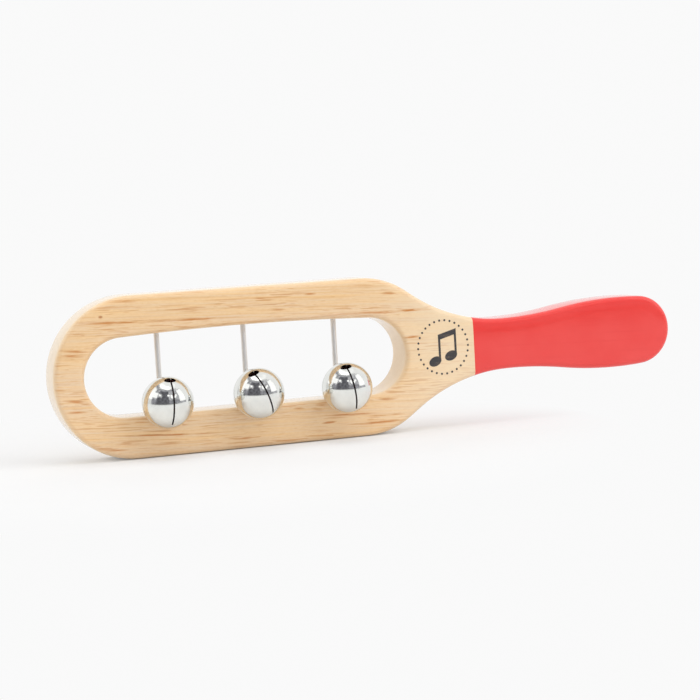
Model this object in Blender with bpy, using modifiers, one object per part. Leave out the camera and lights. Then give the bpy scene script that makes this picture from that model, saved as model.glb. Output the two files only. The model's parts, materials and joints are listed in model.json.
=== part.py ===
import math

import bmesh
import bpy
from mathutils import Matrix

# Wooden bell rattle: a flat board with a slotted head, a handle, and bells looped on rods across the slot.
# Metres. x runs along the board to the handle, z is up, and the bells hang on the -y side.

# board
board_length = 0.2488
board_thickness = 0.0164
head_width = 0.060
edge_round = 0.0010
shoulder_radius = 0.0305
shoulder_straight = 0.00413  # straight run between the shoulder's round and the neck's hollow
neck_x = 0.1778
neck_half_width = 0.00986
neck_radius = 0.0644
grip_x = 0.2256
grip_half_width = 0.01384
handle_tilt = math.radians(0.80)  # the handle leans up a little from the head's middle line
tilt_x = 0.130
paint_x = 0.16385

# slot in the head
slot_left = 0.0115
slot_right = 0.1359
lower_rail = 0.0155
upper_rail = 0.0152
slot_crown = 0.0012

# rods and the plugs below them
rod_places = (0.0408, 0.0741, 0.1098)
rod_diameter = 0.0020
rod_clearance = 0.0001
rod_cover = 0.0055  # wood left above the end of a rod
plug_diameter = 0.0045
plug_length = 0.0055
plug_clearance = 0.0001

# bells
bell_radius = 0.0095
bell_wall = 0.0005
bell_seam = 0.00012
rail_gap = 0.0006
rest_angles = (33.5, 35.2, 30.4)  # where each bell leans on the rail's edge, degrees above level
bell_shifts = (-0.00132, -0.00009, -0.00162)  # sideways place of each bell from its rod
bell_turns = (0.0, -0.5, -2.75)  # way that each bell faces, degrees from straight out
slit_leans = (-2.2, 22.3, 9.7)  # turn of each front cup about the bell's own axis, degrees
slit_width = 0.0006
slit_reach = math.radians(64.5)
hole_width = 0.0044
hole_height = 0.0029
hole_angle = math.radians(51.5)
ball_radius = 0.0030
ball_clearance = 0.0003

# wire loop at the back of a bell
loop_wire = 0.0012
loop_clearance = 0.00025
loop_hole_clearance = 0.00015
loop_slack = 0.0008
foot_length = 0.0022
foot_bend = 0.0009

# smoothness
round_steps = 36
rod_steps = 24

shoulder_drop = head_width / 2 - neck_half_width
bend_radius = shoulder_radius + neck_radius
bend_span = math.hypot(bend_radius, shoulder_straight)
bend_lead = math.atan2(shoulder_straight, bend_radius)
shoulder_slope = math.acos((bend_radius - shoulder_drop) / bend_span) - bend_lead
slot_bottom = lower_rail
slot_top = head_width - upper_rail
rod_top = head_width - rod_cover
rod_radius = rod_diameter / 2
rail_edge_y = board_thickness / 2 - edge_round
rail_edge_z = slot_bottom - edge_round
lean = bell_radius + edge_round + rail_gap
bell_outs = [rail_edge_y + lean * math.cos(math.radians(angle)) for angle in rest_angles]
bell_heights = [rail_edge_z + lean * math.sin(math.radians(angle)) for angle in rest_angles]
bell_facings = [math.radians(turn) for turn in bell_turns]
hangs = list(zip(bell_shifts, bell_outs, bell_facings))
sides = [shift * math.cos(facing) - out * math.sin(facing) for shift, out, facing in hangs]
reaches = [shift * math.sin(facing) + out * math.cos(facing) for shift, out, facing in hangs]
loop_half_width = max(abs(side) for side in sides) + rod_radius + loop_clearance + loop_wire / 2
loop_end = max(reaches) + loop_slack + loop_half_width
loop_rest_z = slot_bottom + loop_clearance + loop_wire / 2
front_y = max(bell_outs) + bell_radius
middle_y = (front_y - board_thickness / 2) / 2


def arc(center_x, center_z, radius, start, stop, steps):
    points = []
    for step in range(steps + 1):
        angle = start + (stop - start) * step / steps
        points.append((center_x + radius * math.cos(angle), center_z + radius * math.sin(angle)))
    return points


def handle_side():
    # one side of shoulder, neck and grip as (x, distance from the middle line)
    quarter = math.pi / 2
    edge = head_width / 2
    foot_x = neck_x - neck_radius * math.sin(shoulder_slope)
    foot_h = neck_half_width + neck_radius * (1 - math.cos(shoulder_slope))
    brow_h = edge - shoulder_radius * (1 - math.cos(shoulder_slope))
    brow_x = foot_x - (brow_h - foot_h) / math.tan(shoulder_slope)
    shoulder_x = brow_x - shoulder_radius * math.sin(shoulder_slope)
    run = grip_x - neck_x
    swell = grip_half_width - neck_half_width
    swell_radius = (run ** 2 + swell ** 2) / (4 * swell)
    swell_turn = math.asin(run / (2 * swell_radius))
    sunk = swell_radius - grip_half_width
    tail = board_length - grip_x
    end_radius = (swell_radius ** 2 - sunk ** 2 - tail ** 2) / (2 * (swell_radius - tail))
    end_x = board_length - end_radius
    end_turn = math.atan2(sunk, end_x - grip_x)
    points = arc(shoulder_x, edge - shoulder_radius, shoulder_radius, quarter, quarter - shoulder_slope, 8)
    points += arc(neck_x, neck_half_width + neck_radius, neck_radius, -quarter - shoulder_slope, -quarter, 9)
    swell_end = -quarter + swell_turn
    points += arc(neck_x, neck_half_width + swell_radius, swell_radius, -quarter, swell_end, 5)[1:]
    points += arc(grip_x, -sunk, swell_radius, quarter + swell_turn, end_turn, 8)[1:]
    points += arc(end_x, 0, end_radius, end_turn, 0, 10)[1:]
    return points


def board_outline():
    half = head_width / 2
    lower = []
    upper = []
    for x, h in handle_side():
        middle = half + max(0, x - tilt_x) * math.tan(handle_tilt)
        lower.append((x, middle - h))
        upper.append((x, middle + h))
    nose = arc(half, half, half, math.pi / 2, 3 * math.pi / 2, 28)
    return lower + upper[-2::-1] + nose


def slot_outline():
    radius = (slot_top - slot_bottom) / 2
    middle_z = (slot_top + slot_bottom) / 2
    middle_x = (slot_left + slot_right) / 2
    half_flat = (slot_right - slot_left) / 2 - radius
    crown_radius = (half_flat ** 2 + slot_crown ** 2) / (2 * slot_crown)
    crown_turn = math.asin(half_flat / crown_radius)
    quarter = math.pi / 2
    points = arc(middle_x - half_flat, middle_z, radius, quarter, 3 * quarter, 20)
    points += arc(middle_x + half_flat, middle_z, radius, -quarter, quarter, 20)
    crown_z = slot_top + slot_crown - crown_radius
    points += arc(middle_x, crown_z, crown_radius, quarter - crown_turn, quarter + crown_turn, 8)[1:-1]
    return points[::-1]


def material(name, color, roughness, metallic):
    made = bpy.data.materials.new(name)
    made.use_nodes = True
    shader = made.node_tree.nodes["Principled BSDF"]
    shader.inputs["Base Color"].default_value = (*color, 1)
    shader.inputs["Roughness"].default_value = roughness
    shader.inputs["Metallic"].default_value = metallic
    return made


def place(thing, parent, location, collection):
    collection.objects.link(thing)
    thing.parent = parent
    thing.location = location
    return thing


def empty(name, parent, location, rotation=(0, 0, 0)):
    thing = place(bpy.data.objects.new(name, None), parent, location, rattle)
    thing.rotation_euler = rotation
    thing.empty_display_size = 0.004
    return thing


def solid(name, mesh, parent, location, finish, collection=None):
    thing = place(bpy.data.objects.new(name, mesh), parent, location, collection or rattle)
    mesh.materials.append(finish)
    return thing


def rod_mesh(name, radius, bottom, top, steps=rod_steps):
    bm = bmesh.new()
    depth = top - bottom
    bmesh.ops.create_cone(bm, cap_ends=True, segments=steps, radius1=radius, radius2=radius, depth=depth)
    bmesh.ops.translate(bm, verts=bm.verts, vec=(0, 0, (top + bottom) / 2))
    for face in bm.faces:
        face.smooth = len(face.verts) == 4
    mesh = bpy.data.meshes.new(name)
    bm.to_mesh(mesh)
    bm.free()
    return mesh


def cutter(name, mesh, parent, location, rotation=(0, 0, 0)):
    thing = solid(name, mesh, parent, location, wood, cutters)
    thing.rotation_euler = rotation
    thing.hide_render = True
    thing.display_type = "WIRE"
    return thing


def cut(thing, tool):
    change = thing.modifiers.new(tool.name, "BOOLEAN")
    change.operation = "DIFFERENCE"
    change.solver = "EXACT"
    change.object = tool


def curve_to_mesh(curve_object, name):
    bpy.context.view_layer.update()
    ready = curve_object.evaluated_get(bpy.context.evaluated_depsgraph_get())
    mesh = bpy.data.meshes.new_from_object(ready)
    mesh.name = name
    bm = bmesh.new()
    bm.from_mesh(mesh)
    bmesh.ops.remove_doubles(bm, verts=bm.verts, dist=1e-6)
    bmesh.ops.recalc_face_normals(bm, faces=bm.faces)
    bm.to_mesh(mesh)
    bm.free()
    bpy.data.objects.remove(curve_object)
    return mesh


def flat_curve(name, outlines):
    data = bpy.data.curves.new(name, "CURVE")
    data.dimensions = "2D"
    data.fill_mode = "BOTH"
    data.extrude = board_thickness / 2 - edge_round
    data.bevel_depth = edge_round
    data.bevel_resolution = 1
    data.offset = -edge_round
    for outline in outlines:
        spline = data.splines.new("POLY")
        spline.points.add(len(outline) - 1)
        for point, (x, z) in zip(spline.points, outline):
            point.co = (x, z, 0, 1)
        spline.use_cyclic_u = True
    thing = bpy.data.objects.new(name, data)
    rattle.objects.link(thing)
    return thing


def wire_curve(name, points, radius):
    data = bpy.data.curves.new(name, "CURVE")
    data.dimensions = "3D"
    data.bevel_depth = radius
    data.bevel_resolution = 2
    data.use_fill_caps = True
    spline = data.splines.new("POLY")
    spline.points.add(len(points) - 1)
    for point, (x, z) in zip(spline.points, points):
        point.co = (x, 0, z, 1)
    thing = bpy.data.objects.new(name, data)
    rattle.objects.link(thing)
    return thing


def cup(name, points, parent, finish):
    # a turned cup: the closed section is swept round the bell's own axis
    bm = bmesh.new()
    ring = [bm.verts.new((x, 0, z)) for x, z in points]
    for first, second in zip(ring, ring[1:]):
        bm.edges.new((first, second))
    mesh = bpy.data.meshes.new(name)
    bm.to_mesh(mesh)
    bm.free()
    thing = solid(name, mesh, parent, (0, 0, 0), finish)
    turn = thing.modifiers.new("turn", "SCREW")
    turn.steps = round_steps
    turn.render_steps = round_steps
    turn.use_merge_vertices = True
    turn.merge_threshold = 0.00001
    turn.use_smooth_shade = True
    return thing


def loop_path():
    # hairpin from one foot inside the cup, round the far end, to the other foot
    inner = loop_half_width + foot_bend
    tip = inner + foot_length
    room = bell_radius - bell_wall - loop_clearance
    foot_z = loop_wire / 2 - math.sqrt(room ** 2 - tip ** 2)
    far = loop_half_width - loop_end
    right = [(tip, foot_z)]
    right += arc(inner, foot_z - foot_bend, foot_bend, math.pi / 2, math.pi, 4)
    left = [(-x, z) for x, z in right[::-1]]
    return right + arc(0, far, loop_half_width, 0, -math.pi, 14) + left


def half_profile(side):
    inner = bell_radius - bell_wall
    rim = bell_seam / 2
    outer_rim = math.asin(rim / bell_radius)
    inner_rim = math.asin(rim / inner)
    outside = arc(0, 0, bell_radius, side * math.pi / 2, side * outer_rim, 7)
    inside = arc(0, 0, inner, side * inner_rim, side * math.pi / 2, 7)
    outside[0] = (0, side * bell_radius)
    inside[-1] = (0, side * inner)
    points = outside + inside
    return points if side > 0 else points[::-1]


for thing in list(bpy.data.objects):
    bpy.data.objects.remove(thing)

rattle = bpy.data.collections.new("snake_rattle")
cutters = bpy.data.collections.new("cutters")
bpy.context.scene.collection.children.link(rattle)
bpy.context.scene.collection.children.link(cutters)

wood = material("wood", (0.76, 0.55, 0.31), 0.55, 0)
red_paint = material("red_paint", (0.86, 0.09, 0.08), 0.35, 0)
plug_wood = material("plug_wood", (0.68, 0.47, 0.26), 0.6, 0)
steel = material("steel", (0.62, 0.62, 0.63), 0.3, 1)
chrome = material("chrome", (0.86, 0.87, 0.88), 0.06, 1)
loop_steel = material("loop_steel", (0.7, 0.7, 0.71), 0.2, 1)
ball_steel = material("ball_steel", (0.5, 0.5, 0.51), 0.35, 1)

root = empty("rattle_origin", None, (-board_length / 2, middle_y, 0))

# board, lying flat as drawn and then stood on its lower edge
board_mesh = curve_to_mesh(flat_curve("board_curve", (board_outline(), slot_outline())), "wooden_frame")
board = solid("wooden_frame", board_mesh, root, (0, 0, 0), wood)
board.rotation_euler = (math.pi / 2, 0, 0)
board_mesh.materials.append(red_paint)
for face in board_mesh.polygons:
    face.material_index = int(face.center.x > paint_x)

rod_bottom = plug_length + rod_clearance
for number, (x, height, side, reach, facing, slit_lean) in enumerate(
    zip(rod_places, bell_heights, sides, reaches, bell_facings, slit_leans), 1
):
    # rod and plug with their holes
    rod_hole = cutter(
        f"rod_hole_{number}",
        rod_mesh("rod_hole", rod_radius + rod_clearance, -0.001, rod_top + rod_clearance),
        root,
        (x, 0, 0),
    )
    cut(board, rod_hole)
    plug_radius = plug_diameter / 2
    plug_hole = cutter(
        f"plug_hole_{number}",
        rod_mesh("plug_hole", plug_radius + plug_clearance, -0.001, plug_length),
        root,
        (x, 0, 0),
    )
    cut(board, plug_hole)
    solid(f"rod_{number}", rod_mesh("rod", rod_radius, rod_bottom, rod_top), root, (x, 0, 0), steel)
    plug = rod_mesh("rod_plug", plug_radius, plug_clearance, plug_length - plug_clearance)
    solid(f"rod_plug_{number}", plug, root, (x, 0, 0), plug_wood)

    # bell, hung from a point on its rod
    tilt = math.asin((height - loop_rest_z) / loop_end)
    hanger = empty(f"bell_hanger_{number}", root, (x, 0, height), (0, 0, facing))
    center = empty(f"bell_center_{number}", hanger, (side, -reach, 0), (math.pi / 2 - tilt, 0, 0))

    front = cup(f"bell_front_cup_{number}", half_profile(1), center, chrome)
    front.rotation_euler = (0, 0, math.radians(slit_lean))
    slit = bmesh.new()
    bmesh.ops.create_cube(slit, size=1)
    slit_low = -bell_radius * math.sin(slit_reach)
    slit_high = bell_radius * math.sin(hole_angle)
    bmesh.ops.scale(slit, verts=slit.verts, vec=(slit_width, slit_high - slit_low, bell_radius))
    bmesh.ops.translate(slit, verts=slit.verts, vec=(0, (slit_high + slit_low) / 2, bell_radius * 0.7))
    slit_mesh = bpy.data.meshes.new("slit")
    slit.to_mesh(slit_mesh)
    slit.free()
    cut(front, cutter(f"slit_{number}", slit_mesh, front, (0, 0, 0)))
    hole = rod_mesh("sound_hole", hole_width / 2, bell_radius * 0.6, bell_radius * 1.3)
    hole.transform(Matrix.Diagonal((1, hole_height / hole_width, 1, 1)))
    cut(front, cutter(f"sound_hole_{number}", hole, front, (0, 0, 0), (-hole_angle, 0, 0)))

    back = cup(f"bell_back_cup_{number}", half_profile(-1), center, chrome)
    leg_radius = loop_wire / 2 + loop_hole_clearance
    for leg in (-1, 1):
        leg_hole = rod_mesh("leg_hole", leg_radius, -bell_radius * 1.3, -bell_radius * 0.6, 16)
        leg_place = (leg * loop_half_width, 0, 0)
        cut(back, cutter(f"leg_hole_{number}_{'left' if leg < 0 else 'right'}", leg_hole, center, leg_place))

    wire = wire_curve(f"loop_curve_{number}", loop_path(), loop_wire / 2)
    loop_mesh = curve_to_mesh(wire, "bell_loop")
    for face in loop_mesh.polygons:
        face.use_smooth = True
    solid(f"bell_loop_{number}", loop_mesh, center, (0, 0, 0), loop_steel)

    # loose ball lying in the lowest part of the bell
    ball = bmesh.new()
    bmesh.ops.create_uvsphere(ball, u_segments=16, v_segments=10, radius=ball_radius)
    orbit = bell_radius - bell_wall - ball_radius - ball_clearance
    bmesh.ops.translate(ball, verts=ball.verts, vec=(0, -orbit, 0))
    for face in ball.faces:
        face.smooth = True
    ball_mesh = bpy.data.meshes.new("bell_ball")
    ball.to_mesh(ball_mesh)
    ball.free()
    solid(f"bell_ball_{number}", ball_mesh, center, (0, 0, 0), ball_steel)
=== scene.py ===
import json
import math
import bpy
import bmesh
from mathutils import Matrix, Quaternion, Vector


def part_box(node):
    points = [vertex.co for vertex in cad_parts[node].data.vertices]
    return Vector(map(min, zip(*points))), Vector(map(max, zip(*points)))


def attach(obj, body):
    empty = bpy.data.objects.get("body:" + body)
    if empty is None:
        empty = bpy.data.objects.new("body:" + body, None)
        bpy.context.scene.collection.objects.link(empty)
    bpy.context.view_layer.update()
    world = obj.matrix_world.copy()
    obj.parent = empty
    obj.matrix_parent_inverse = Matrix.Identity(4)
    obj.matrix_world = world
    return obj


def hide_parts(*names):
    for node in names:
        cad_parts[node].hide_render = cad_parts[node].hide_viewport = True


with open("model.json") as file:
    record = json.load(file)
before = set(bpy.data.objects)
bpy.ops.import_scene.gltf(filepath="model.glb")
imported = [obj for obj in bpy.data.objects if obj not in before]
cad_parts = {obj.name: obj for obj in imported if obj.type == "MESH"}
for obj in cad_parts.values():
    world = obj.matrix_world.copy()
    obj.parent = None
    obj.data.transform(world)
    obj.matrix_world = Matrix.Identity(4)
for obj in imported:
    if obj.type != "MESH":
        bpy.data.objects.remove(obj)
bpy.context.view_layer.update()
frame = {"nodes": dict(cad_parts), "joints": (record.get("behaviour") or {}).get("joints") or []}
scene = bpy.context.scene
jointsByName = {joint["name"]: joint for joint in frame["joints"]}
boardLow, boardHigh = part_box("wooden_frame")
boardPlace = Matrix.Translation((boardLow.x, (boardLow.y + boardHigh.y) / 2, boardLow.z))
frontY = boardLow.y - boardPlace.translation.y
origin = Vector((0, 0, 0))
acrossY = Vector((0, 1, 0))
upZ = Vector((0, 0, 1))
mm = 0.001
# distances at which points become one
weld = {"outline": 0.00001, "rings": 0.000002, "turned": 0.000004, "cut": 0.0000005}
print("frame loaded:", len(frame["nodes"]), "nodes")


# shader helpers

bumpDepth = 0.0002


def addNode(material, kind, inputs=None, **settings):
    node = material.node_tree.nodes.new(kind)
    for key, value in settings.items():
        setattr(node, key, value)
    for key, value in (inputs or {}).items():
        if isinstance(value, bpy.types.NodeSocket):
            material.node_tree.links.new(value, node.inputs[key])
        else:
            node.inputs[key].default_value = value
    return node


def newMaterial(name, shaderInputs):
    made = bpy.data.materials.new(name)
    made.use_nodes = True
    shader = made.node_tree.nodes["Principled BSDF"]
    for key, value in shaderInputs.items():
        shader.inputs[key].default_value = value
    return made, shader


def bareMaterial(name):
    made = bpy.data.materials.new(name)
    made.use_nodes = True
    made.node_tree.nodes.clear()
    return made


def link(material, outSocket, inSocket):
    material.node_tree.links.new(outSocket, inSocket)


def objectCoords(material):
    return addNode(material, "ShaderNodeTexCoord").outputs["Object"]


def span(material, value, low, high, outLow=0.0, outHigh=1.0):
    limits = {"Value": value, "From Min": low, "From Max": high, "To Min": outLow, "To Max": outHigh}
    return addNode(material, "ShaderNodeMapRange", limits, clamp=True).outputs["Result"]


def math2(material, operation, first, second):
    return addNode(material, "ShaderNodeMath", {0: first, 1: second}, operation=operation).outputs[0]


def vectorMath(material, operation, *values):
    return addNode(material, "ShaderNodeVectorMath", dict(enumerate(values)), operation=operation).outputs


def mixColor(material, factor, first, second):
    node = addNode(material, "ShaderNodeMix", data_type="RGBA")
    for key, value in ((0, factor), (6, first), (7, second)):
        if isinstance(value, bpy.types.NodeSocket):
            link(material, value, node.inputs[key])
        elif key == 0:
            node.inputs[key].default_value = value
        else:
            node.inputs[key].default_value = (*value, 1)
    return node.outputs[2]


def laidOut(material, coords, place, size, turn):
    inputs = {"Vector": coords, "Location": place, "Rotation": (0, turn, 0), "Scale": size}
    return addNode(material, "ShaderNodeMapping", inputs, vector_type="TEXTURE").outputs[0]


def softSpot(material, coords, place, size, turn=0.0):
    laid = laidOut(material, coords, place, size, turn)
    spot = addNode(material, "ShaderNodeTexGradient", {"Vector": laid}, gradient_type="SPHERICAL")
    return spot.outputs["Fac"]


def plainNoise(material, coords, scale, detail):
    inputs = {"Vector": coords, "Scale": scale, "Detail": detail}
    return addNode(material, "ShaderNodeTexNoise", inputs).outputs["Fac"]


def grainNoise(material, coords, size, slope=0.0, detail=2.0, rough=0.5, shift=0.0):
    # noise whose cells are size metres long, deep and high, laid along the grain
    laid = laidOut(material, coords, (shift, 0, 0), size, slope)
    inputs = {"Vector": laid, "Scale": 1.0, "Detail": detail, "Roughness": rough}
    return addNode(material, "ShaderNodeTexNoise", inputs).outputs["Fac"]


def addBump(material, shader, height, strength):
    inputs = {"Height": height, "Strength": strength, "Distance": bumpDepth}
    bump = addNode(material, "ShaderNodeBump", inputs)
    link(material, bump.outputs[0], shader.inputs["Normal"])


# shape helpers

def onlyVerts(geom):
    return [item for item in geom if isinstance(item, bmesh.types.BMVert)]


def everything(bm):
    return bm.verts[:] + bm.edges[:] + bm.faces[:]


def drawArc(bm, pen, center, angle, steps):
    # swings the pen round a point in the board's plane, clockwise from the front where angle > 0
    around = (center[0], 0, center[1])
    turned = bmesh.ops.spin(bm, geom=[pen], cent=around, axis=acrossY, angle=angle, steps=steps)
    return onlyVerts(turned["geom_last"])[0]


def drawLine(bm, pen, x, z):
    moved = bmesh.ops.extrude_vert_indiv(bm, verts=[pen])["verts"][0]
    bmesh.ops.translate(bm, verts=[moved], vec=(x - moved.co.x, 0, z - moved.co.z))
    return moved


def turnAll(bm, angle, axis):
    bmesh.ops.rotate(bm, verts=bm.verts, cent=origin, matrix=Matrix.Rotation(angle, 3, axis))


def rodSolid(radius, low, high, segments=48):
    bm = bmesh.new()
    bmesh.ops.create_cone(bm, cap_ends=True, segments=segments, radius1=radius, radius2=radius,
                          depth=high - low)
    bmesh.ops.translate(bm, verts=bm.verts, vec=(0, 0, (low + high) / 2))
    return bm


def roundEdges(bm, edges, radius):
    bmesh.ops.bevel(bm, geom=edges, offset=radius, offset_type="OFFSET", affect="EDGES", segments=2,
                    profile=0.5, material=-1)


def newObject(bm, name, materials):
    mesh = bpy.data.meshes.new(name)
    bm.to_mesh(mesh)
    bm.free()
    for material in materials:
        mesh.materials.append(material)
    made = bpy.data.objects.new(name, mesh)
    scene.collection.objects.link(made)
    return made


def finishPiece(bm, name, materials, body, nodes, place, sharpAngle=32):
    bmesh.ops.transform(bm, matrix=place, verts=bm.verts)
    for face in bm.faces:
        face.smooth = True
    piece = newObject(bm, name, materials)
    piece.data.set_sharp_from_angle(angle=math.radians(sharpAngle))
    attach(piece, body)
    if nodes:
        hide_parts(*nodes)
    return piece


def cutAway(bm, cutters):
    # takes the cutter solids out of the bmesh with an exact boolean
    holder = bpy.data.objects.new("cutHolder", bpy.data.meshes.new("cutHolder"))
    scene.collection.objects.link(holder)
    bm.to_mesh(holder.data)
    tools = [newObject(cutter, "cutTool", ()) for cutter in cutters]
    for tool in tools:
        step = holder.modifiers.new("cut", "BOOLEAN")
        step.operation = "DIFFERENCE"
        step.solver = "EXACT"
        step.object = tool
    bpy.context.view_layer.update()
    result = holder.evaluated_get(bpy.context.evaluated_depsgraph_get())
    bm.clear()
    bm.from_mesh(result.to_mesh())
    bmesh.ops.remove_doubles(bm, verts=bm.verts, dist=weld["cut"])
    result.to_mesh_clear()
    for thing in tools + [holder]:
        mesh = thing.data
        bpy.data.objects.remove(thing)
        bpy.data.meshes.remove(mesh)


# materials

woodLook = {
    "pale": (0.832, 0.618, 0.408), "tan": (0.900, 0.617, 0.324), "streak": (0.60, 0.25, 0.072),
    "line": (0.74, 0.42, 0.165), "pore": (0.46, 0.17, 0.055), "shoulder": (0.872, 0.753, 0.552),
    # edge colours: a sanded edge's paleness together with a painted highlight
    "edgePaleAndHighlight": (0.90, 0.72, 0.50), "edgeTanAndHighlight": (0.86, 0.65, 0.41), "edgeLine": 0.06,
    "slope": math.radians(2.6), "waviness": 0.0022, "driftScale": 16.0, "driftDetail": 1.0, "bump": 0.12,
    "shader": {"Roughness": 0.5, "Coat Weight": 1.0, "Coat Roughness": 0.11, "Specular IOR Level": 0.12},
    # grain: length, depth and height of a cell (m), detail, roughness, shift
    "layers": {
        "broad": ((0.16, 0.02, 0.013), 2.0, 0.5, 0.0),
        "bands": ((0.09, 0.006, 0.0036), 3.0, 0.6, 0.4),
        "fibres": ((0.030, 0.0012, 0.00085), 2.0, 0.6, 0.0),
        "lines": ((0.045, 0.006, 0.0006), 1.0, 0.5, 4.4),
        "dashes": ((0.010, 0.005, 0.00055), 1.0, 0.5, 1.3),
        "patches": ((0.06, 0.02, 0.0042), 1.5, 0.5, 2.1),
        "pores": ((0.0042, 0.0009, 0.00042), 1.0, 0.5, 3.7),
        "mottle": ((0.0016, 0.0012, 0.0007), 1.0, 0.5, 7.3),
        "broken": ((0.008, 0.004, 0.0007), 2.0, 0.6, 5.1),
    },
    "toneShares": {"broad": 0.30, "bands": 0.35, "fibres": 0.35},
    # low and high end of what is measured, and the share at each where it is not 0 and 1
    "ranges": {
        "tone": (0.38, 0.60), "lines": (0.54, 0.64, 0, 0.34), "dashes": (0.575, 0.64),
        "patches": (0.40, 0.58, 0.10, 0.60), "pores": (0.66, 0.74, 0, 0.35), "mottle": (0.35, 0.7, 0, 0.17),
        "broken": (0.38, 0.56, 0.2, 1.2), "bold": (0.0, 1.0), "knot": (0.0, 0.6, 0, 0.85),
        "edgeTone": (0.36, 0.62), "face": (0.30, 0.95), "lineInside": (0.3, 0.65),
        "lineOutside": (0.9, 0.99, 1.0, 0.0), "roughness": (0.3, 0.7, 0.36, 0.48),
    },
    "shoulderFrom": 0.12, "shoulderRun": 0.03, "shoulderShare": 0.45,
    # bold streaks: start, end and height from the head's lower left, drop, width, strength (mm)
    "bold": (
        (9.5, 70, 49.9, 2.0, 0.8, 0.6), (9.2, 40.5, 50.7, 1.5, 0.7, 0.7), (17, 33.6, 58.2, 0.7, 0.8, 0.6),
        (23, 31.2, 55.9, 0.2, 0.6, 0.8), (100, 149, 46.7, 0.4, 0.7, 0.6), (56, 94, 55.5, 1.2, 0.7, 0.5),
        (58, 101, 46.6, 0.2, 0.7, 0.6), (127, 133, 53.5, 0.2, 0.9, 0.9), (95.8, 101, 55.5, 0.1, 0.6, 0.9),
        (82, 88.7, 50.6, 0.5, 0.7, 0.8), (123, 146.5, 46.6, -0.7, 0.7, 0.9),
        (48, 61.3, 49.3, 0.2, 0.8, 0.8), (134, 142, 36.5, -0.2, 0.8, 0.9), (20.2, 60, 8.2, 2.1, 0.6, 1.3),
        (16, 26.2, 4.1, 0.7, 0.7, 0.8), (21, 30, 5.9, 0.8, 0.6, 0.7), (37.5, 46.2, 5.2, 0.3, 0.7, 0.6),
        (110.6, 133.2, 4.9, 0.2, 0.6, 1.3), (100.5, 123.5, 8.7, 0.5, 0.6, 1.0),
        (100.3, 106.1, 6.4, -0.2, 0.7, 1.3), (119, 133, 7.4, 0.2, 0.6, 0.9),
        (97.5, 103, 13.2, 0.8, 0.9, 0.8), (89.5, 94, 12.6, 0.4, 0.7, 0.8), (68, 73.5, 3.9, 0.3, 0.7, 0.8),
        (73, 77.5, 8.3, 0.3, 0.7, 0.8), (123.5, 131, 13.4, 0.2, 0.8, 0.9),
        (2.5, 12.7, 22.9, 1.5, 0.9, 0.7), (4, 14.5, 41.4, 1.0, 0.8, 0.7),
        (3.3, 11.7, 39.9, 0.9, 0.7, 0.8), (3.3, 12, 19, 0.3, 0.8, 0.7),
    ),
    "boldSize": (1 / 1.7, 0.011, 1 / 1.25), "boldGain": 1.3,
    "knotX": 18.6, "knotZ": 52.9, "knotSize": (0.001, 0.004, 0.0006),
}


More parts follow.
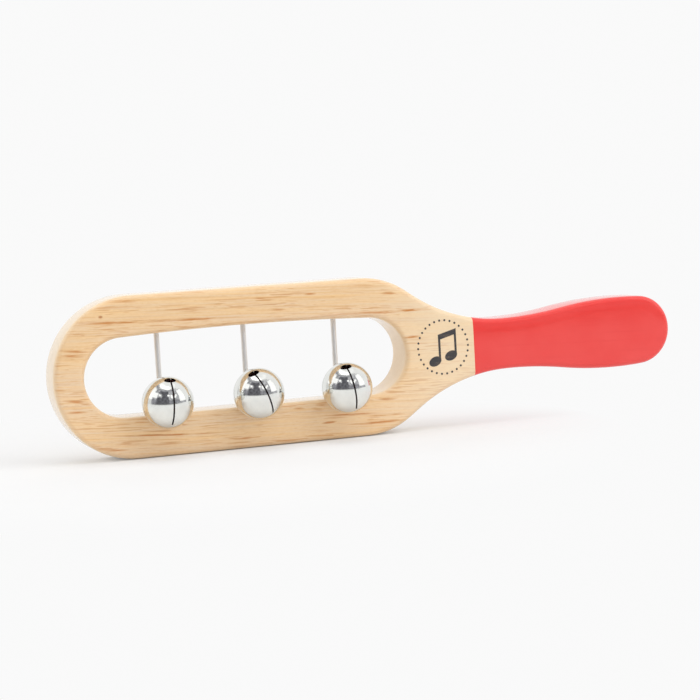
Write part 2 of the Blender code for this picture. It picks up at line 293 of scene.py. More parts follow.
def makeWood(name, look, bold=True):
    wood, shader = newMaterial(name, look["shader"])
    coords = objectCoords(wood)
    drift = addNode(wood, "ShaderNodeTexNoise", {"Vector": coords, "Scale": look["driftScale"],
                                                 "Detail": look["driftDetail"]})
    push = vectorMath(wood, "SUBTRACT", drift.outputs["Color"], (0.5, 0.5, 0.5))[0]
    pushed = vectorMath(wood, "MULTIPLY", push, (0, look["waviness"], look["waviness"]))[0]
    wavy = vectorMath(wood, "ADD", coords, pushed)[0]

    def layer(layerName, along=wavy):
        size, detail, rough, shift = look["layers"][layerName]
        return grainNoise(wood, along, size, look["slope"], detail, rough, shift)

    def ranged(rangeName, value):
        return span(wood, value, *look["ranges"][rangeName])

    grains = {layerName: layer(layerName) for layerName in look["toneShares"]}
    fibres = grains["fibres"]
    tone = 0.0
    for layerName, share in look["toneShares"].items():
        tone = math2(wood, "ADD", tone, math2(wood, "MULTIPLY", grains[layerName], share))
    color = mixColor(wood, ranged("tone", tone), look["tan"], look["pale"])
    # long faint lines, then short brown dashes gathered in patches
    color = mixColor(wood, ranged("lines", layer("lines")), color, look["line"])
    dashes = ranged("dashes", layer("dashes"))
    patches = ranged("patches", layer("patches"))
    color = mixColor(wood, math2(wood, "MULTIPLY", dashes, patches), color, look["streak"])
    pores = ranged("pores", layer("pores"))
    color = mixColor(wood, pores, color, look["streak"])
    color = mixColor(wood, ranged("mottle", layer("mottle", coords)), color, look["line"])
    along = addNode(wood, "ShaderNodeSeparateXYZ", {0: coords}).outputs[0]
    shoulderX = boardPlace.translation.x + look["shoulderFrom"]
    paler = span(wood, along, shoulderX, shoulderX + look["shoulderRun"], 0, look["shoulderShare"])
    color = mixColor(wood, paler, color, look["shoulder"])
    if bold:
        total = 0.0
        sizeAlong, sizeThrough, sizeUp = look["boldSize"]
        for start, end, height, drop, width, strength in look["bold"]:
            middle = boardPlace @ Vector(((start + end) / 2 * mm, frontY, height * mm))
            size = ((end - start) * mm * sizeAlong, sizeThrough, width * mm * sizeUp)
            spot = softSpot(wood, wavy, middle, size, math.atan2(drop, end - start))
            total = math2(wood, "ADD", math2(wood, "MULTIPLY", spot, strength * look["boldGain"]), total)
        ragged = math2(wood, "MULTIPLY", total, ranged("broken", layer("broken")))
        color = mixColor(wood, ranged("bold", ragged), color, look["streak"])
        knotPlace = boardPlace @ Vector((look["knotX"] * mm, frontY, look["knotZ"] * mm))
        knot = ranged("knot", softSpot(wood, coords, knotPlace, look["knotSize"]))
        color = mixColor(wood, knot, color, look["pore"])
    # the edge is paler than the faces, partly a sanded edge and partly a painted highlight for the light its
    # rounded edges and walls catch, with a darker line where it rounds over
    normal = addNode(wood, "ShaderNodeTexCoord").outputs["Normal"]
    facing = addNode(wood, "ShaderNodeSeparateXYZ", {0: normal}).outputs[1]
    turned = math2(wood, "ABSOLUTE", facing, 0.0)
    edge = mixColor(wood, ranged("edgeTone", tone), look["edgeTanAndHighlight"], look["edgePaleAndHighlight"])
    color = mixColor(wood, ranged("face", turned), edge, color)
    line = math2(wood, "MULTIPLY", ranged("lineInside", turned), ranged("lineOutside", turned))
    color = mixColor(wood, math2(wood, "MULTIPLY", line, look["edgeLine"]), color, look["streak"])
    link(wood, color, shader.inputs["Base Color"])
    link(wood, ranged("roughness", fibres), shader.inputs["Roughness"])
    addBump(wood, shader, math2(wood, "ADD", fibres, pores), look["bump"])
    return wood


paintLook = {
    "red": (0.805, 0.047, 0.040), "deep": (0.755, 0.036, 0.031), "pale": (0.822, 0.058, 0.050),
    "shader": {"Roughness": 0.4, "Coat Weight": 1.0, "Coat Roughness": 0.08, "Specular IOR Level": 0.12},
    "grain": ((0.03, 0.003, 0.0012), math.radians(1.5), 2.0, 0.6), "clouds": (60.0, 3.0),
    "peel": (900.0, 1.0), "peelShare": 0.4, "bump": 0.08,
    "paleRange": (0.35, 0.65), "deepRange": (0.55, 0.75, 0, 0.35), "roughness": (0.3, 0.7, 0.30, 0.40),
}


def makePaint(look):
    paint, shader = newMaterial("redPaint", look["shader"])
    coords = objectCoords(paint)
    clouds = plainNoise(paint, coords, *look["clouds"])
    grain = grainNoise(paint, coords, *look["grain"])
    color = mixColor(paint, span(paint, clouds, *look["paleRange"]), look["red"], look["pale"])
    color = mixColor(paint, span(paint, grain, *look["deepRange"]), color, look["deep"])
    link(paint, color, shader.inputs["Base Color"])
    link(paint, span(paint, clouds, *look["roughness"]), shader.inputs["Roughness"])
    peel = math2(paint, "MULTIPLY", plainNoise(paint, coords, *look["peel"]), look["peelShare"])
    addBump(paint, shader, math2(paint, "ADD", peel, grain), look["bump"])
    return paint


metalLook = {
    "detail": 3.0, "grain": 0.6, "roughRange": (0.35, 0.65), "wornRange": (0.4, 0.7), "swell": (220.0, 1.0),
}


def makeMetal(name, look, color, worn, roughness, cell, waves=0.0, metallic=1.0):
    metal, shader = newMaterial(name, {"Metallic": metallic, "Base Color": (*color, 1)})
    coords = objectCoords(metal)
    marks = grainNoise(metal, coords, cell, 0.0, look["detail"], look["grain"])
    link(metal, span(metal, marks, *look["roughRange"], *roughness), shader.inputs["Roughness"])
    base = mixColor(metal, span(metal, marks, *look["wornRange"]), color, worn)
    link(metal, base, shader.inputs["Base Color"])
    if waves:
        addBump(metal, shader, plainNoise(metal, coords, *look["swell"]), waves)
    return metal


inkLook = {
    "black": (0.042, 0.04, 0.043), "worn": (0.16, 0.12, 0.09), "shader": {"Roughness": 0.6},
    "grain": ((0.004, 0.002, 0.0006), math.radians(2.6), 3.0, 0.6), "speck": (2600.0, 2.0),
    "grainRange": (0.45, 0.7), "speckRange": (0.45, 0.6), "roughness": (0.3, 0.7, 0.5, 0.7),
}


def makeInk(look):
    ink, shader = newMaterial("blackInk", look["shader"])
    coords = objectCoords(ink)
    grain = grainNoise(ink, coords, *look["grain"])
    speck = plainNoise(ink, coords, *look["speck"])
    bare = span(ink, grain, *look["grainRange"])
    thin = math2(ink, "MULTIPLY", bare, span(ink, speck, *look["speckRange"]))
    link(ink, mixColor(ink, thin, look["black"], look["worn"]), shader.inputs["Base Color"])
    link(ink, span(ink, speck, *look["roughness"]), shader.inputs["Roughness"])
    return ink


wood = makeWood("paleWood", woodLook)
plugWood = makeWood("plugWood", dict(woodLook, pale=(0.70, 0.46, 0.25), tan=(0.58, 0.36, 0.18)), bold=False)
redPaint = makePaint(paintLook)
chrome = makeMetal("chrome", metalLook, (0.83, 0.84, 0.81), (0.7719, 0.7812, 0.7533), (0.08, 0.115),
                   (0.004, 0.004, 0.004), waves=0.015)
cupInside = makeMetal("cupInside", metalLook, (0.74, 0.53, 0.51), (0.60, 0.42, 0.40), (0.4, 0.55),
                      (0.002, 0.002, 0.002))
rodSteel = makeMetal("rodSteel", metalLook, (0.88, 0.875, 0.865), (0.8184, 0.81375, 0.80445), (0.42, 0.52),
                     (0.0004, 0.0004, 0.02), metallic=0.8)
loopSteel = makeMetal("loopSteel", metalLook, (0.74, 0.74, 0.75), (0.6882, 0.6882, 0.6975), (0.14, 0.24),
                      (0.002, 0.002, 0.002))
ballSteel = makeMetal("ballSteel", metalLook, (0.45, 0.45, 0.46), (0.4185, 0.4185, 0.4278), (0.3, 0.42),
                      (0.0015, 0.0015, 0.0015))
ink = makeInk(inkLook)
print("materials made")


# wooden board with its slotted head and red handle

boardShape = {
    "headWidth": 0.060, "length": 0.2488, "thickness": 0.0164, "noseSteps": 26,
    "edgeRound": 0.0020, "roundSteps": 8, "crownWidth": 0.0036, "crownTurn": math.radians(3), "crownSteps": 5,
    "shoulderRadius": 0.0305, "shoulderSlope": 0.62134, "shoulderSteps": 14,
    "neckX": 0.1778, "neckHalf": 0.00986, "neckRadius": 0.0644, "neckSteps": 18,
    "gripX": 0.2256, "gripHalf": 0.01384, "swellSteps": 8, "gripSteps": 18, "tipSteps": 18,
    "tilt": math.radians(0.80), "tiltX": 0.130, "paintX": 0.16385,
    "slotLeft": 0.0115, "slotRight": 0.1359, "slotBottom": 0.0155, "slotTop": 0.0448, "slotEndSteps": 36,
    "slotCrown": 0.0012, "slotCrownSteps": 24,
    "drillFrom": -0.001, "rodHole": 0.00110, "rodTop": 0.0546, "plugHole": 0.00235, "plugDepth": 0.0055,
    "flat": 1e-7,
}


def boardOutline(bm, s):
    half = s["headWidth"] / 2
    slope = s["shoulderSlope"]
    footX = s["neckX"] - s["neckRadius"] * math.sin(slope)
    footZ = s["neckHalf"] + s["neckRadius"] * (1 - math.cos(slope))
    browZ = half - s["shoulderRadius"] * (1 - math.cos(slope))
    shoulderX = footX - (browZ - footZ) / math.tan(slope) - s["shoulderRadius"] * math.sin(slope)
    run = s["gripX"] - s["neckX"]
    swell = s["gripHalf"] - s["neckHalf"]
    swellRadius = (run ** 2 + swell ** 2) / (4 * swell)
    swellTurn = math.asin(run / (2 * swellRadius))
    sunk = swellRadius - s["gripHalf"]
    tail = s["length"] - s["gripX"]
    endRadius = (swellRadius ** 2 - sunk ** 2 - tail ** 2) / (2 * (swellRadius - tail))
    endX = s["length"] - endRadius
    endTurn = math.atan2(sunk, endX - s["gripX"])
    # upper half from the nose to the handle's tip, measured from the middle line
    pen = bm.verts.new(origin)
    pen = drawArc(bm, pen, (half, 0), math.pi / 2, s["noseSteps"])
    pen = drawLine(bm, pen, shoulderX, half)
    pen = drawArc(bm, pen, (shoulderX, half - s["shoulderRadius"]), slope, s["shoulderSteps"])
    pen = drawLine(bm, pen, footX, footZ)
    pen = drawArc(bm, pen, (s["neckX"], s["neckHalf"] + s["neckRadius"]), -slope, s["neckSteps"])
    pen = drawArc(bm, pen, (s["neckX"], s["neckHalf"] + swellRadius), -swellTurn, s["swellSteps"])
    pen = drawArc(bm, pen, (s["gripX"], -sunk), math.pi / 2 + swellTurn - endTurn, s["gripSteps"])
    drawArc(bm, pen, (endX, 0), endTurn, s["tipSteps"])
    bmesh.ops.mirror(bm, geom=bm.verts[:] + bm.edges[:], axis="Z", merge_dist=weld["outline"])
    bmesh.ops.remove_doubles(bm, verts=bm.verts, dist=weld["outline"])
    lean = Matrix.Identity(4)
    lean[2][0] = math.tan(s["tilt"])
    lean[2][3] = -s["tiltX"] * math.tan(s["tilt"])
    bmesh.ops.transform(bm, matrix=lean, verts=[vert for vert in bm.verts if vert.co.x > s["tiltX"]])
    bmesh.ops.translate(bm, verts=bm.verts, vec=(0, 0, half))


def slotOutline(bm, s):
    radius = (s["slotTop"] - s["slotBottom"]) / 2
    middleZ = (s["slotTop"] + s["slotBottom"]) / 2
    leftX = s["slotLeft"] + radius
    rightX = s["slotRight"] - radius
    middleX = (leftX + rightX) / 2
    halfFlat = (rightX - leftX) / 2
    crownRadius = (halfFlat ** 2 + s["slotCrown"] ** 2) / (2 * s["slotCrown"])
    crownTurn = math.asin(halfFlat / crownRadius)
    crownZ = s["slotTop"] + s["slotCrown"] - crownRadius
    pen = bm.verts.new((leftX, 0, s["slotBottom"]))
    pen = drawArc(bm, pen, (leftX, middleZ), math.pi, s["slotEndSteps"])
    pen = drawArc(bm, pen, (middleX, crownZ), 2 * crownTurn, s["slotCrownSteps"])
    pen = drawArc(bm, pen, (rightX, middleZ), math.pi, s["slotEndSteps"])
    drawLine(bm, pen, leftX, s["slotBottom"])
    bmesh.ops.remove_doubles(bm, verts=bm.verts, dist=weld["outline"])


def edgeRings(s):
    # radius and turn of each ring of the rounded edge and of the face's crown
    crownRadius = s["crownWidth"] / math.sin(s["crownTurn"])
    quarter = math.pi / 2
    rings = []
    for step in range(s["roundSteps"]):
        rings.append((s["edgeRound"], quarter - (quarter - s["crownTurn"]) * step / s["roundSteps"]))
    for step in range(s["crownSteps"] + 1):
        rings.append((crownRadius, s["crownTurn"] * (1 - step / s["crownSteps"])))
    drop = s["edgeRound"] * math.cos(s["crownTurn"]) + crownRadius * (1 - math.cos(s["crownTurn"]))
    return rings, drop


def makeBoard(s):
    bm = bmesh.new()
    boardOutline(bm, s)
    slotOutline(bm, s)
    bmesh.ops.triangle_fill(bm, use_beauty=True, use_dissolve=False, edges=bm.edges[:], normal=-acrossY)
    bmesh.ops.recalc_face_normals(bm, faces=bm.faces)
    front = bm.faces[:]
    if front[0].normal.y > 0:
        bmesh.ops.reverse_faces(bm, faces=front)
    # front half of the thickness, then the rounded edge and the crown of the face, ring by ring
    grown = bmesh.ops.extrude_face_region(bm, geom=front)["geom"]
    face = [item for item in grown if isinstance(item, bmesh.types.BMFace)]
    rings, drop = edgeRings(s)
    bmesh.ops.translate(bm, verts=onlyVerts(grown), vec=(0, drop - s["thickness"] / 2, 0))
    middle = [item for item in bm.faces if all(abs(vert.co.y) < s["flat"] for vert in item.verts)]
    bmesh.ops.delete(bm, geom=middle, context="FACES_ONLY")
    for (radius, before), (_, after) in zip(rings, rings[1:]):
        bmesh.ops.inset_region(bm, faces=face, use_boundary=True, use_even_offset=True,
                               thickness=radius * (math.sin(before) - math.sin(after)),
                               depth=radius * (math.cos(after) - math.cos(before)))
    bmesh.ops.mirror(bm, geom=everything(bm), axis="Y", merge_dist=weld["outline"])
    bmesh.ops.remove_doubles(bm, verts=bm.verts, dist=weld["rings"])
    bmesh.ops.recalc_face_normals(bm, faces=bm.faces)
    cutters = []
    for number in (1, 2, 3):
        rodX = jointsByName[f"bell_{number}_swivel"]["pos_m"][0] - boardPlace.translation.x
        for radius, high in ((s["rodHole"], s["rodTop"]), (s["plugHole"], s["plugDepth"])):
            cutter = rodSolid(radius, s["drillFrom"], high)
            bmesh.ops.translate(cutter, verts=cutter.verts, vec=(rodX, 0, 0))
            cutters.append(cutter)
    cutAway(bm, cutters)
    bmesh.ops.bisect_plane(bm, geom=everything(bm), plane_co=(s["paintX"], 0, 0), plane_no=(1, 0, 0))
    for item in bm.faces:
        item.material_index = int(item.calc_center_median().x > s["paintX"])
    return finishPiece(bm, "woodenBoard", (wood, redPaint), "frame", ("wooden_frame",), boardPlace)


board = makeBoard(boardShape)
print("board made:", len(board.data.polygons), "faces")


# bells: two cups, a wire loop at the back and a loose ball

bellShape = {
    "radius": 0.0095, "wall": 0.0005, "seam": 0.00012, "rimRound": 0.00012, "turns": 120, "arcSteps": 26,
    "slitWidth": 0.0006, "slitReach": math.radians(64.5), "slitDepth": 0.7, "slitLeans": (-2.2, 22.3, 9.7),
    "holeWidth": 0.0044, "holeHeight": 0.0029, "holeAngle": math.radians(51.5), "holeSegments": 64,
    "cutFrom": 0.6, "cutTo": 1.3, "nearRim": 1e-6, "nearLip": 1e-5, "nearShell": 8e-6, "nearInside": 2e-5,
}


def bellPlace(number):
    # the bell's own axis is local Z, towards the front, and local Y is up
    roll = jointsByName[f"ball_{number}_roll"]
    axis = Vector(roll["axis"]).normalized()
    if axis.y > 0:
        axis = -axis
    side = upZ.cross(axis).normalized()
    up = axis.cross(side)
    turn = Matrix((side, up, axis)).transposed().to_4x4()
    return Matrix.Translation(roll["pos_m"]) @ turn


def cupSolid(s):
    bm = bmesh.new()
    inner = s["radius"] - s["wall"]
    rim = s["seam"] / 2
    outerTurn = math.pi / 2 - math.asin(rim / s["radius"])
    innerTurn = math.pi / 2 - math.asin(rim / inner)
    pen = bm.verts.new((0, 0, s["radius"]))
    pen = drawArc(bm, pen, origin, outerTurn, s["arcSteps"])
    pen = drawLine(bm, pen, inner * math.sin(innerTurn), rim)
    drawArc(bm, pen, origin, -innerTurn, s["arcSteps"])
    bmesh.ops.spin(bm, geom=bm.verts[:] + bm.edges[:], cent=origin, axis=upZ, angle=math.tau,
                   steps=s["turns"], use_merge=True)
    bmesh.ops.remove_doubles(bm, verts=bm.verts, dist=weld["turned"])
    bmesh.ops.recalc_face_normals(bm, faces=bm.faces)

    def onLip(vert):
        return abs(vert.co.z - rim) < s["nearRim"] and vert.co.length > s["radius"] - s["nearLip"]

    roundEdges(bm, [edge for edge in bm.edges if all(onLip(vert) for vert in edge.verts)], s["rimRound"])
    return bm


def finishCup(bm, name, s, place, body, node):
    # the outside is chrome and the inside dull, and both keep the true sphere's shading beside the cuts
    insideReach = s["radius"] - s["wall"] + s["nearInside"]
    for face in bm.faces:
        face.material_index = int(all(vert.co.length < insideReach for vert in face.verts))
    cup = finishPiece(bm, name, (chrome, cupInside), body, (node,), place)
    mesh = cup.data
    normals = []
    for face in mesh.polygons:
        spots = [mesh.vertices[index].co - place.translation for index in face.vertices]
        onShell = all(spot.length > s["radius"] - s["nearShell"] for spot in spots)
        onInside = all(spot.length < insideReach for spot in spots)
        for spot in spots:
            if onShell:
                normals.append(spot.normalized())
            elif onInside:
                normals.append(-spot.normalized())
            else:
                normals.append(face.normal.copy())
    mesh.normals_split_custom_set(normals)


def makeFrontCup(number, s, place):
    bm = cupSolid(s)
    slit = bmesh.new()
    bmesh.ops.create_cube(slit, size=1)
    low = -s["radius"] * math.sin(s["slitReach"])
    high = s["radius"] * math.sin(s["holeAngle"])
    bmesh.ops.scale(slit, verts=slit.verts, vec=(s["slitWidth"], high - low, s["radius"]))
    bmesh.ops.translate(slit, verts=slit.verts, vec=(0, (low + high) / 2, s["radius"] * s["slitDepth"]))
    near = s["radius"] * s["cutFrom"]
    far = s["radius"] * s["cutTo"]
    hole = rodSolid(s["holeWidth"] / 2, near, far, s["holeSegments"])
    bmesh.ops.scale(hole, verts=hole.verts, vec=(1, s["holeHeight"] / s["holeWidth"], 1))
    turnAll(hole, -s["holeAngle"], "X")
    cutAway(bm, (slit, hole))
    turnAll(bm, math.radians(s["slitLeans"][number - 1]), "Z")
    finishCup(bm, f"bellFrontCup{number}", s, place, f"bell_{number}", f"bell_front_cup_{number}")


def makeBackCup(number, s, loop, place):
    bm = cupSolid(s)
    bmesh.ops.scale(bm, verts=bm.verts, vec=(1, 1, -1))
    bmesh.ops.reverse_faces(bm, faces=bm.faces)
    near = -s["radius"] * s["cutFrom"]
    far = -s["radius"] * s["cutTo"]
    holes = []
    for side in (-1, 1):
        hole = rodSolid(loop["wire"] + loop["holeGap"], far, near, loop["holeSegments"])
        bmesh.ops.translate(hole, verts=hole.verts, vec=(side * loop["halfWidth"], 0, 0))
        holes.append(hole)
    cutAway(bm, holes)
    finishCup(bm, f"bellBackCup{number}", s, place, f"bell_{number}", f"bell_back_cup_{number}")


loopShape = {
    "wire": 0.0006, "segments": 20, "halfWidth": 0.00317, "end": 0.020802, "bendSteps": 24,
    "footBend": 0.0009, "footSteps": 8, "footLength": 0.0022, "gap": 0.00025,
    "holeGap": 0.00015, "holeSegments": 32,
}


def makeLoop(number, bell, s, place):
    # round wire from a foot inside the cup, out, round the rod and back in
    bm = bmesh.new()
    inner = s["halfWidth"] + s["footBend"]
    tip = inner + s["footLength"]
    room = bell["radius"] - bell["wall"] - s["gap"]
    footZ = s["wire"] - math.sqrt(room ** 2 - tip ** 2)
    bendZ = footZ - s["footBend"]
    farZ = s["halfWidth"] - s["end"]
    bmesh.ops.create_circle(bm, cap_ends=True, radius=s["wire"], segments=s["segments"])
    turnAll(bm, math.pi / 2, "Y")
    bmesh.ops.translate(bm, verts=bm.verts, vec=(tip, 0, footZ))
    footRun = (-s["footLength"], 0, 0)
    ring = bm.edges[:]
    for kind, values in (
        ("run", footRun),
        ("turn", ((inner, 0, bendZ), -math.pi / 2, s["footSteps"])),
        ("run", (0, 0, farZ - bendZ)),
        ("turn", ((0, 0, farZ), math.pi, s["bendSteps"])),
        ("run", (0, 0, bendZ - farZ)),
        ("turn", ((-inner, 0, bendZ), -math.pi / 2, s["footSteps"])),
        ("run", footRun),
    ):
        if kind == "run":
            grown = bmesh.ops.extrude_edge_only(bm, edges=ring)["geom"]
            bmesh.ops.translate(bm, verts=onlyVerts(grown), vec=values)
        else:
            center, angle, steps = values
            geom = ring + list({vert for edge in ring for vert in edge.verts})
            swung = bmesh.ops.spin(bm, geom=geom, cent=center, axis=acrossY, angle=angle, steps=steps)
            grown = swung["geom_last"]
        ring = [item for item in grown if isinstance(item, bmesh.types.BMEdge) and len(item.link_faces) == 1]
    bmesh.ops.edgeloop_fill(bm, edges=ring)
    bmesh.ops.remove_doubles(bm, verts=bm.verts, dist=weld["turned"])
    bmesh.ops.recalc_face_normals(bm, faces=bm.faces)
    finishPiece(bm, f"bellLoop{number}", (loopSteel,), f"bell_{number}", (f"bell_loop_{number}",),
                place)


ballShape = {"radius": 0.0030, "gap": 0.0003, "subdivisions": 4}


def makeBall(number, bell, s, place):
    bm = bmesh.new()
    bmesh.ops.create_icosphere(bm, subdivisions=s["subdivisions"], radius=s["radius"])
    orbit = bell["radius"] - bell["wall"] - s["radius"] - s["gap"]
    bmesh.ops.translate(bm, verts=bm.verts, vec=(0, -orbit, 0))
    finishPiece(bm, f"bellBall{number}", (ballSteel,), f"ball_{number}", (f"bell_ball_{number}",),
                place)


# rods across the slot, and the plugs that close their holes

rodShape = {"radius": 0.0010, "low": 0.0056, "high": 0.0545, "endRound": 0.15, "flat": 1e-7}
plugShape = {"radius": 0.00225, "low": 0.0001, "high": 0.0054, "endRound": 0.15, "flat": 1e-7}


def makePeg(number, s, name, body, node, material):
    rodX, rodY = jointsByName[f"bell_{number}_swivel"]["pos_m"][:2]
    bm = rodSolid(s["radius"], s["low"], s["high"])
    ends = [edge for edge in bm.edges if abs(edge.verts[0].co.z - edge.verts[1].co.z) < s["flat"]]
    roundEdges(bm, ends, s["radius"] * s["endRound"])
    place = Matrix.Translation((rodX, rodY, boardLow.z))
    finishPiece(bm, f"{name}{number}", (material,), body, (node,), place)


for number in (1, 2, 3):
    place = bellPlace(number)
    makePeg(number, rodShape, "rod", f"rod_{number}", f"rod_{number}", rodSteel)
    makePeg(number, plugShape, "rodPlug", "frame", f"rod_plug_{number}", plugWood)
    makeFrontCup(number, bellShape, place)
    makeBackCup(number, bellShape, loopShape, place)
    makeLoop(number, bellShape, loopShape, place)
    makeBall(number, bellShape, ballShape, place)
    print("bell", number, "made")


# printed mark on the shoulder: a pair of notes in a ring of dots

markShape = {
    "x": 0.1510, "z": 0.0314, "ink": 0.00003, "stemInk": 0.8, "beamInk": 0.6,
    "ringRadius": 0.0103, "dots": 30, "dotRadius": 0.00042, "dotReach": 1.5, "dotSegments": 16,
    "noteHalfGap": 0.0033, "noteRise": 0.0009,
    "headRadius": 0.0021, "headSegments": 40, "headScale": (1.25, 0.86, 1), "headLean": math.radians(22),
    "headX": -0.0002, "headZ": -0.0044,
    "stemX": 0.0018, "stemZ": 0.0006, "stemSize": (0.0009, 0.0096, 1),
    "beamX": 0.0018, "beamZ": 0.0048, "beamSize": (0.0075, 0.0021, 1), "beamSlant": 0.27,
}


def makeMark(s):
    bm = bmesh.new()

    def bar(size):
        verts = bmesh.ops.create_grid(bm, x_segments=1, y_segments=1, size=0.5)["verts"]
        bmesh.ops.scale(bm, verts=verts, vec=size)
        return verts

    def pressed(verts, lift):
        # gives the flat shape its film of ink
        faces = list({face for vert in verts for face in vert.link_faces})
        grown = bmesh.ops.extrude_face_region(bm, geom=faces)["geom"]
        bmesh.ops.translate(bm, verts=onlyVerts(grown), vec=(0, 0, lift))

    for side in (-1, 1):
        noteX = side * s["noteHalfGap"]
        rise = side * s["noteRise"]
        made = bmesh.ops.create_circle(bm, cap_ends=True, radius=s["headRadius"], segments=s["headSegments"])
        head = made["verts"]
        bmesh.ops.scale(bm, verts=head, vec=s["headScale"])
        bmesh.ops.rotate(bm, verts=head, cent=origin, matrix=Matrix.Rotation(s["headLean"], 3, "Z"))
        bmesh.ops.translate(bm, verts=head, vec=(noteX + s["headX"], rise + s["headZ"], 0))
        pressed(head, s["ink"])
        stem = bar(s["stemSize"])
        bmesh.ops.translate(bm, verts=stem, vec=(noteX + s["stemX"], rise + s["stemZ"], 0))
        pressed(stem, s["ink"] * s["stemInk"])
    beam = bar(s["beamSize"])
    slant = Matrix.Identity(4)
    slant[1][0] = s["beamSlant"]
    bmesh.ops.transform(bm, matrix=slant, verts=beam)
    bmesh.ops.translate(bm, verts=beam, vec=(s["beamX"], s["beamZ"], 0))
    pressed(beam, s["ink"] * s["beamInk"])
    made = bmesh.ops.create_circle(bm, cap_ends=True, radius=s["dotRadius"], segments=s["dotSegments"])
    bmesh.ops.translate(bm, verts=made["verts"], vec=(s["ringRadius"], 0, 0))
    pressed(made["verts"], s["ink"])
    dot = [vert for vert in bm.verts if vert.co.x > s["ringRadius"] - s["dotRadius"] * s["dotReach"]]
    dot += list({face for vert in dot for face in vert.link_faces})
    more = s["dots"] - 1
    bmesh.ops.spin(bm, geom=dot, cent=origin, axis=upZ, angle=math.tau * more / s["dots"], steps=more,
                   use_duplicate=True)
    bmesh.ops.recalc_face_normals(bm, faces=bm.faces)
    stand = Matrix.Rotation(math.pi / 2, 4, "X")
    place = boardPlace @ Matrix.Translation((s["x"], frontY, s["z"])) @ stand
    finishPiece(bm, "printedMark", (ink,), "frame", (), place)


makeMark(markShape)
print("mark printed")


# floor, light and camera

objectMiddle = boardPlace @ Vector((0.116015, 0, 0.032607))
cameraLook = {
    "place": boardPlace @ Vector((-0.13545, -0.72315, 0.0949)), "roll": math.radians(-3.277),
    "lens": 103.494, "sensor": 36, "near": 0.01, "far": 100,
}
toCamera = cameraLook["place"] - objectMiddle
cameraSide = math.atan2(toCamera.y, toCamera.x)


def lookAway(across, above):
    # direction from the object, by degrees right of the camera and degrees up
    turn = cameraSide + math.radians(across)
    rise = math.radians(above)
    return Vector((math.cos(turn) * math.cos(rise), math.sin(turn) * math.cos(rise), math.sin(rise)))


def seenDirectly(material):
    # 1 for camera, glossy and transmitted rays
    path = addNode(material, "ShaderNodeLightPath")
    seen = math2(material, "MAXIMUM", path.outputs["Is Camera Ray"], path.outputs["Is Glossy Ray"])
    return math2(material, "MAXIMUM", seen, path.outputs["Is Transmission Ray"])


stageLook = {
    "white": 0.953, "ambient": 0.42, "floor": (0.83, 0.83, 0.83), "floorRadius": 30.0, "floorSides": 96,
    "underneath": 0.0001, "fibre": (300.0, 2.0), "fibreSwing": 0.005,
    "fadeX": 0.045, "fadeFrom": 0.07, "fadeTo": 0.17, "paperEnd": 0.28, "paperSoft": 0.12, "beyond": 0.20,
    "lift": 0.38, "footX": 0.076, "footEnd": (0.044, 0.058), "footEdge": (-0.0008, 0.0002),
}


def makeWorld(look):
    world = bpy.data.worlds.new("studio")
    world.use_nodes = True
    world.node_tree.nodes.clear()
    scene.world = world
    white = look["white"]
    shown = addNode(world, "ShaderNodeBackground", {"Color": (white, white, white, 1)})
    lit = addNode(world, "ShaderNodeBackground", {"Color": (1, 1, 1, 1), "Strength": look["ambient"]})
    seen = seenDirectly(world)
    mix = addNode(world, "ShaderNodeMixShader", {0: seen, 1: lit.outputs[0], 2: shown.outputs[0]})
    addNode(world, "ShaderNodeOutputWorld", {"Surface": mix.outputs[0]})


def makePaper(look):
    paper = bareMaterial("floorPaper")
    coords = objectCoords(paper)
    dim = tuple(part * (1 - look["fibreSwing"]) for part in look["floor"])
    bright = tuple(part * (1 + look["fibreSwing"]) for part in look["floor"])
    tint = mixColor(paper, plainNoise(paper, coords, *look["fibre"]), dim, bright)
    matte = addNode(paper, "ShaderNodeBsdfDiffuse", {"Color": tint})
    # the paper ends in front of the toy, which only shiny surfaces show
    ahead = vectorMath(paper, "DOT_PRODUCT", coords, (math.cos(cameraSide), math.sin(cameraSide), 0))["Value"]
    past = span(paper, ahead, look["paperEnd"], look["paperEnd"] + look["paperSoft"], 0, 1 - look["beyond"])
    path = addNode(paper, "ShaderNodeLightPath")
    strength = math2(paper, "SUBTRACT", 1.0, math2(paper, "MULTIPLY", past, path.outputs["Is Glossy Ray"]))
    plain = (look["white"], look["white"], look["white"], 1)
    white = addNode(paper, "ShaderNodeEmission", {"Color": plain, "Strength": strength})
    away = vectorMath(paper, "DISTANCE", coords, boardPlace @ Vector((look["fadeX"], 0, 0)))["Value"]
    fade = math2(paper, "MULTIPLY", span(paper, away, look["fadeFrom"], look["fadeTo"]), seenDirectly(paper))
    # the lift leaves the dark line where the head stands
    fromFoot = vectorMath(paper, "SUBTRACT", coords, boardPlace @ Vector((look["footX"], 0, 0)))[0]
    foot = addNode(paper, "ShaderNodeSeparateXYZ", {0: vectorMath(paper, "ABSOLUTE", fromFoot)[0]}).outputs
    half = boardShape["thickness"] / 2
    edgeIn, edgeOut = look["footEdge"]
    pastEnd = span(paper, foot[0], *look["footEnd"])
    clear = math2(paper, "MAXIMUM", pastEnd, span(paper, foot[1], half + edgeIn, half + edgeOut))
    lift = math2(paper, "MULTIPLY", path.outputs["Is Camera Ray"], look["lift"])
    share = math2(paper, "MAXIMUM", fade, math2(paper, "MULTIPLY", lift, clear))
    mix = addNode(paper, "ShaderNodeMixShader", {0: share, 1: matte.outputs[0], 2: white.outputs[0]})
    addNode(paper, "ShaderNodeOutputMaterial", {"Surface": mix.outputs[0]})
    return paper


def makeFloor(look):
    bm = bmesh.new()
    bmesh.ops.create_circle(bm, cap_ends=True, radius=look["floorRadius"], segments=look["floorSides"])
    bmesh.ops.translate(bm, verts=bm.verts, vec=(0, 0, -look["underneath"]))
    floor = newObject(bm, "floor", (makePaper(look),))


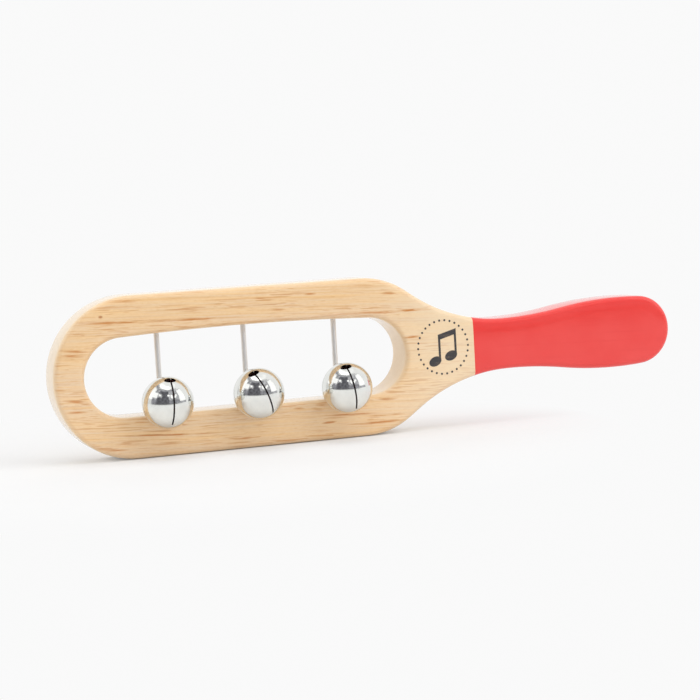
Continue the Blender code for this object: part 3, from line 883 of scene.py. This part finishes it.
lampLook = (  # name, degrees right of the camera, degrees up, distance, size, brightness
    ("rightSoftbox", 69, 31, 1.6, (1.5, 1.4), 1.8),
    ("leftSoftbox", -93, 24, 1.6, (1.2, 1.2), 1.0),
    ("overheadSoftbox", 0, 82, 1.7, (1.9, 1.5), 1.7),
    ("frontFill", -8, 18, 1.6, (1.3, 0.9), 0.8),
    ("backSoftbox", 196, 34, 1.8, (1.5, 1.2), 1.0),
)


def makeLamp(name, across, above, distance, size, bright):
    data = bpy.data.lights.new(name, "AREA")
    data.shape = "RECTANGLE"
    data.size, data.size_y = size
    data.energy = bright * math.pi * size[0] * size[1]
    away = lookAway(across, above)
    lamp = bpy.data.objects.new(name, data)
    lamp.location = objectMiddle + away * distance
    lamp.rotation_euler = away.to_track_quat("Z", "Y").to_euler()
    lamp.visible_glossy = False  # the room's cards stand for the soft boxes there
    scene.collection.objects.link(lamp)


roomLook = {
    "cards": (  # degrees right of the camera, degrees up, distance, brightness
        ((-48, 8), (-4, 55), 2.0, 0.14), ((8, 58), (15, 55), 2.0, 0.50), ((8, 58), (-4, 15), 2.0, 0.30),
        ((-73, -48), (-4, 18), 2.0, 0.29), ((-75, -48), (18, 55), 2.0, 0.55),
        ((-112, -73), (-3, 16), 2.0, 0.80), ((-47, -25), (27, 42), 1.97, 0.55),
        ((-114, 40), (54, 60.5), 1.97, 0.36),
        ((-114, 62), (60.5, 65.5), 1.97, 0.66), ((40, 76), (54, 60.5), 1.97, 0.60),
        ((-60, 28), (65.5, 90), 1.95, 2.3), ((-84, -60), (65.5, 90), 1.95, 1.9),
        ((-108, -84), (65.5, 90), 1.95, 1.5), ((-132, -108), (65.5, 90), 1.95, 1.15),
        ((28, 130), (65.5, 90), 1.95, 1.1), ((54, 92), (0, 53), 1.95, 0.40), ((59, 91), (7, 51), 1.92, 1.25),
        ((-106, -73), (16, 51), 1.93, 1.25), ((-74, -48), (24, 42), 1.92, 1.2)),
    "cardSteps": (6, 16),
    # degrees right of the camera, degrees up, radius
    "bulbs": ((-36, 36, 0.14), (7, 36, 0.15), (22, 34, 0.14), (23, 27, 0.15), (38, 28, 0.16), (46, 34, 0.14)),
    "bulbDistance": 1.85, "bulbGlow": 1.35,
    "blotch": (3.6, 4.0), "swing": (0.55, 0.85, 2.6, 0.0),
    "dimTint": (0.97, 0.965, 1.09), "plainTint": (1, 1, 1), "tintRange": (0.2, 0.7),
    "zenith": (math.radians(72), math.radians(85)),
}


def bentCard(bm, across, above, distance, steps):
    # a patch of a ball round the object: one point swung up, and the arc swung round
    before = set(bm.verts)
    low, high = (math.radians(value) for value in above)
    left, right = (cameraSide + math.radians(value) for value in across)
    pen = bm.verts.new((distance * math.cos(low), 0, distance * math.sin(low)))
    bmesh.ops.spin(bm, geom=[pen], cent=origin, axis=-acrossY, angle=high - low, steps=steps[0])
    arc = [vert for vert in bm.verts if vert not in before]
    bmesh.ops.rotate(bm, verts=arc, cent=origin, matrix=Matrix.Rotation(left, 3, "Z"))
    edges = list({edge for vert in arc for edge in vert.link_edges})
    bmesh.ops.spin(bm, geom=arc + edges, cent=origin, axis=upZ, angle=right - left, steps=steps[1])


def makeRoomShade(s):
    shade = bareMaterial("roomShade")
    coords = objectCoords(shade)
    glow = addNode(shade, "ShaderNodeAttribute", attribute_name="tone").outputs["Fac"]
    blotch = math2(shade, "SUBTRACT", plainNoise(shade, coords, *s["blotch"]), 0.5)
    swing = math2(shade, "MULTIPLY", blotch, span(shade, glow, *s["swing"]))
    strength = math2(shade, "MULTIPLY", glow, math2(shade, "ADD", swing, 1.0))
    # straight overhead the boxes melt into the plain white of the studio
    outward = vectorMath(shade, "NORMALIZE", coords)[0]
    up = addNode(shade, "ShaderNodeSeparateXYZ", {0: outward}).outputs[2]
    melt = span(shade, up, math.sin(s["zenith"][0]), math.sin(s["zenith"][1]))
    missing = math2(shade, "SUBTRACT", stageLook["white"], strength)
    strength = math2(shade, "ADD", strength, math2(shade, "MULTIPLY", melt, missing))
    tint = mixColor(shade, span(shade, glow, *s["tintRange"]), s["dimTint"], s["plainTint"])
    light = addNode(shade, "ShaderNodeEmission", {"Color": tint, "Strength": strength})
    addNode(shade, "ShaderNodeOutputMaterial", {"Surface": light.outputs[0]})
    return shade


def makeRoom(s):
    # soft boxes and the dim room behind the camera, which only shiny surfaces show
    bm = bmesh.new()
    tone = bm.faces.layers.float.new("tone")
    for across, above, distance, bright in s["cards"]:
        bentCard(bm, across, above, distance, s["cardSteps"])
        for face in bm.faces:
            face[tone] = face[tone] or bright
    for across, above, size in s["bulbs"]:
        spot = lookAway(across, above) * s["bulbDistance"]
        bmesh.ops.create_icosphere(bm, subdivisions=2, radius=size, matrix=Matrix.Translation(spot))
    for face in bm.faces:
        face[tone] = face[tone] or s["bulbGlow"]
    room = newObject(bm, "room", (makeRoomShade(s),))
    room.visible_camera = False
    room.visible_diffuse = False
    room.visible_shadow = False
    room.visible_transmission = False


def makeCamera(look):
    data = bpy.data.cameras.new("photoCamera")
    data.sensor_fit = "HORIZONTAL"
    data.sensor_width = look["sensor"]
    data.lens = look["lens"]
    data.clip_start = look["near"]
    data.clip_end = look["far"]
    camera = bpy.data.objects.new("photoCamera", data)
    camera.location = look["place"]
    aim = (objectMiddle - look["place"]).to_track_quat("-Z", "Y")
    camera.rotation_mode = "QUATERNION"
    camera.rotation_quaternion = aim @ Quaternion(upZ, look["roll"])
    scene.collection.objects.link(camera)
    scene.camera = camera


makeWorld(stageLook)
makeFloor(stageLook)
for lamp in lampLook:
    makeLamp(*lamp)
makeRoom(roomLook)
makeCamera(cameraLook)
scene.view_settings.view_transform = "Standard"
print("stage set")
